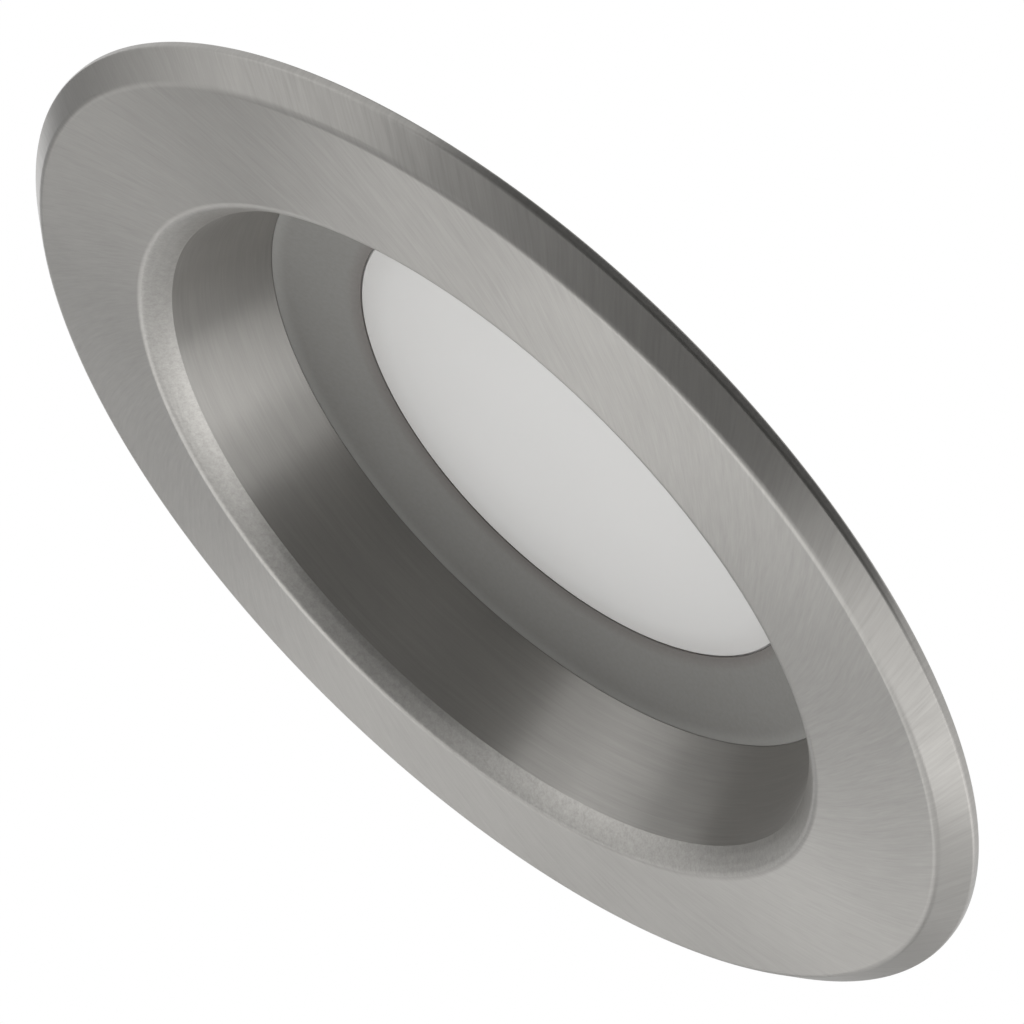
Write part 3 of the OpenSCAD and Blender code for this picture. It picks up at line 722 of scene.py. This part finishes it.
def spring_line():
    """Centre line of the right spring: the arm's leg, the coil, then the bracket's leg."""
    start_y = -PITCH * TURNS / 2
    points = []
    for k in range(ARM_LEG_STEPS):
        x = PIVOT.x + ARM_LEG * (1 - k / ARM_LEG_STEPS)
        points.append(Vector((x, start_y, PIVOT.z - COIL_R)))
    steps = int(TURNS * TURN_STEPS)
    for k in range(steps + 1):
        t = k / steps
        angle = math.radians(270 - 360 * TURNS * t) + LEAN * t
        across = Vector((math.cos(angle), 0, math.sin(angle))) * COIL_R
        points.append(Vector((PIVOT.x, start_y + PITCH * TURNS * t, PIVOT.z)) + across)
    way = Vector((-math.sin(LEAN), 0, math.cos(LEAN)))
    end = points[-1]
    for k in range(1, BRACKET_LEG_STEPS + 1):
        points.append(end + way * (BRACKET_LEG * k / BRACKET_LEG_STEPS))
    return points


def make_spring(name, node, material, side):
    """A smooth wire tube. Side is 1 right and -1 left."""
    line = [Vector((p.x * side, p.y * side, p.z)) * MM for p in spring_line()]
    vertices, faces = [], []
    normal = Vector((0, 1, 0))
    for i, point in enumerate(line):
        way = (line[min(i + 1, len(line) - 1)] - line[max(i - 1, 0)]).normalized()
        normal = (normal - way * normal.dot(way)).normalized()
        other = way.cross(normal)
        for k in range(WIRE_SIDES):
            a = 2 * math.pi * k / WIRE_SIDES
            vertices.append(point + (normal * math.cos(a) + other * math.sin(a)) * WIRE_R * MM)
    for row in range(0, (len(line) - 1) * WIRE_SIDES, WIRE_SIDES):
        for k in range(WIRE_SIDES):
            m = (k + 1) % WIRE_SIDES
            faces.append([row + k, row + m, row + WIRE_SIDES + m, row + WIRE_SIDES + k])
    tube_faces = len(faces)
    last = (len(line) - 1) * WIRE_SIDES
    faces.append(list(range(WIRE_SIDES))[::-1])
    faces.append([last + k for k in range(WIRE_SIDES)])
    mesh = new_mesh(name, vertices, faces, [material])
    mesh.polygons.foreach_set("use_smooth", [i < tube_faces for i in range(len(faces))])
    mesh.update()
    piece = new_object(name, mesh)
    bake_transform(piece)
    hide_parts(node)


# Studio

ROOM_STRENGTH = 1.1
FLOOR_GREY = (0.8, 0.8, 0.79, 1)
FLOOR_HALF, FLOOR_Z = 1.4, -2.4
CARD_DISTANCE = 0.9
CARD_STEP = 10
LAMP_DISTANCE = 1.2

# Grey cards that shape the reflections: azimuths and elevations in degrees, then the tone
CARDS = [
    ("card_behind_camera", (36, 150), (-62, 6), 0.12),
    ("card_above_camera", (36, 150), (6, 60), 0.23),
    ("card_below", (0, 360), (-90, -67), 0.46),
    ("card_right_gap", (-59, -36), (-26, 4), 0.27),
    ("card_right_soft", (-66, -59), (-24, 4), 0.62),
    ("card_left_gap", (-132, -122), (-26, -4), 0.4),
    ("card_front", (-116, -66), (-30, -2), 0.84),
]

# Soft boxes: azimuth and elevation in degrees, width, height and the brightness of the face
SOFT_BOXES = [
    ("softbox_left", 188, -28, 0.75, 1.0, 1.2),
    ("softbox_right", 3, -30, 0.6, 1.0, 0.6),
    ("softbox_front", -95, -54, 0.5, 1.0, 1.05),
]


def white_outside(n, lit, white_kind):
    """White for the camera's, reflected and refracted rays, and the lit shader for all others."""
    path = n.add("ShaderNodeLightPath").outputs
    shown = n.math("MAXIMUM", path["Is Camera Ray"], path["Is Transmission Ray"])
    shown = n.math("MAXIMUM", shown, path["Is Glossy Ray"])
    white = n.add(white_kind, {"Color": (1, 1, 1, 1), "Strength": 1.0})
    mixed = n.add("ShaderNodeMixShader", {0: shown, 1: lit.outputs[0], 2: white.outputs[0]})
    return mixed.outputs[0]


def make_stage():
    """A plain pale floor, far below."""
    material, n = new_material("floor_pale")
    matte = n.add("ShaderNodeBsdfDiffuse", {"Color": FLOOR_GREY})
    seen = white_outside(n, matte, "ShaderNodeEmission")
    n.add("ShaderNodeOutputMaterial", {"Surface": seen})
    corners = ((-1, -1), (1, -1), (1, 1), (-1, 1))
    vertices = [(x * FLOOR_HALF, y * FLOOR_HALF, FLOOR_Z) for x, y in corners]
    floor = new_object("floor", new_mesh("floor", vertices, [(0, 1, 2, 3)], [material]))


def make_world():
    world = bpy.data.worlds.new("Studio")
    bpy.context.scene.world = world
    world.use_nodes = True
    n = Nodes(world.node_tree)
    room = n.add("ShaderNodeBackground", {"Color": (1, 1, 1, 1), "Strength": ROOM_STRENGTH})
    seen = white_outside(n, room, "ShaderNodeBackground")
    n.add("ShaderNodeOutputWorld", {"Surface": seen})


def make_card(name, azimuths, elevations, tone):
    """A curved matte card round the object, which the camera looks through."""
    material, n = new_material(name)
    matte = n.add("ShaderNodeBsdfDiffuse", {"Color": (tone, tone, tone, 1)})
    n.add("ShaderNodeOutputMaterial", {"Surface": matte.outputs[0]})
    width, height = azimuths[1] - azimuths[0], elevations[1] - elevations[0]
    across = max(2, round(width / CARD_STEP))
    upward = max(2, round(height / CARD_STEP))
    vertices, faces = [], []
    for j in range(upward + 1):
        elevation = elevations[0] + height * j / upward
        for i in range(across + 1):
            azimuth = azimuths[0] + width * i / across
            vertices.append(direction(azimuth, elevation) * CARD_DISTANCE)
    for j in range(upward):
        for i in range(across):
            k = j * (across + 1) + i
            faces.append([k, k + 1, k + across + 2, k + across + 1])
    card = new_object(name, new_mesh(name, vertices, faces, [material]))
    card.visible_camera = False
    card.visible_shadow = False


def make_soft_box(name, azimuth, elevation, width, height, level):
    """A soft box that faces the light's centre."""
    data = bpy.data.lights.new(name, "AREA")
    data.shape = "RECTANGLE"
    data.size = width
    data.size_y = height
    data.energy = level * math.pi * width * height
    lamp = new_object(name, data)
    lamp.location = LAMP_DISTANCE * direction(azimuth, elevation)
    lamp.rotation_euler = lamp.location.to_track_quat("Z", "Y").to_euler()


make_camera()
make_world()
make_stage()
for card in CARDS:
    make_card(*card)
for soft_box in SOFT_BOXES:
    make_soft_box(*soft_box)

# Paint, plastic and rubber: the colour, the roughness and the rounding of the edges
PAINTS = {
    "lens_seal": ((0.17, 0.135, 0.12), 0.5),
    "seal_black": ((0.03, 0.03, 0.03), 0.6),
    "white_plastic": ((0.8, 0.8, 0.8), 0.4, 0.0001),
    "board_white": ((0.78, 0.78, 0.76), 0.35, 0.0001),
    "chip_yellow": ((0.8, 0.6, 0.14), 0.4, 0.0001),
    "part_black": ((0.02, 0.02, 0.02), 0.45, 0.0001),
    "part_blue": ((0.02, 0.08, 0.35), 0.25, 0.0001),
    "part_tan": ((0.5, 0.36, 0.2), 0.3, 0.0001),
    "part_ivory": ((0.75, 0.7, 0.56), 0.4, 0.0001),
    "pad_blue": ((0.3, 0.42, 0.5), 0.6),
    "grommet_rubber": ((0.025, 0.025, 0.025), 0.5, 0.0002),
    "pad_rubber": ((0.03, 0.03, 0.03), 0.6, 0.0002),
}

# Plated steel: the colour, the roughness, the rounding of the edges and the axis of rolling
PLATES = {
    "screw_zinc": ((0.6, 0.61, 0.62), 0.28, 0.00012),
    "clip_steel": ((0.56, 0.57, 0.58), 0.3, 0.0002),
    "pin_steel": ((0.6, 0.6, 0.61), 0.24, 0.00012, 1),
    "spring_steel": ((0.36, 0.36, 0.37), 0.26, 0.0),
}

MATERIALS = {
    "nickel_trim": plated_back(),
    "gasket_foam": foam("gasket_foam", (0.035, 0.035, 0.035)),
    "ring_grey": matte_ring(),
    "lens_opal": frosted_lens(),
    "sink_cast": cast_metal("sink_cast", (0.5, 0.505, 0.51)),
}
MATERIALS.update({name: painted(name, *look) for name, look in PAINTS.items()})
MATERIALS.update({name: plated(name, *look) for name, look in PLATES.items()})

for part in frame["record"]["subparts"]:
    node = frame["nodes"][part["node"]]
    node.data.materials.clear()
    node.data.materials.append(MATERIALS[part["material_slot"]])

make_trim([brushed_flange(), brushed_cone(), blasted_mouth(), MATERIALS["nickel_trim"]])
make_lens_ring(MATERIALS["ring_grey"])
make_lens(MATERIALS["lens_opal"])
for name, side in (("right", 1), ("left", -1)):
    steel = MATERIALS["spring_steel"]
    make_spring(f"spring_{name}", f"torsion_spring_{name}", steel, side)

bpy.context.scene.view_settings.view_transform = "Standard"
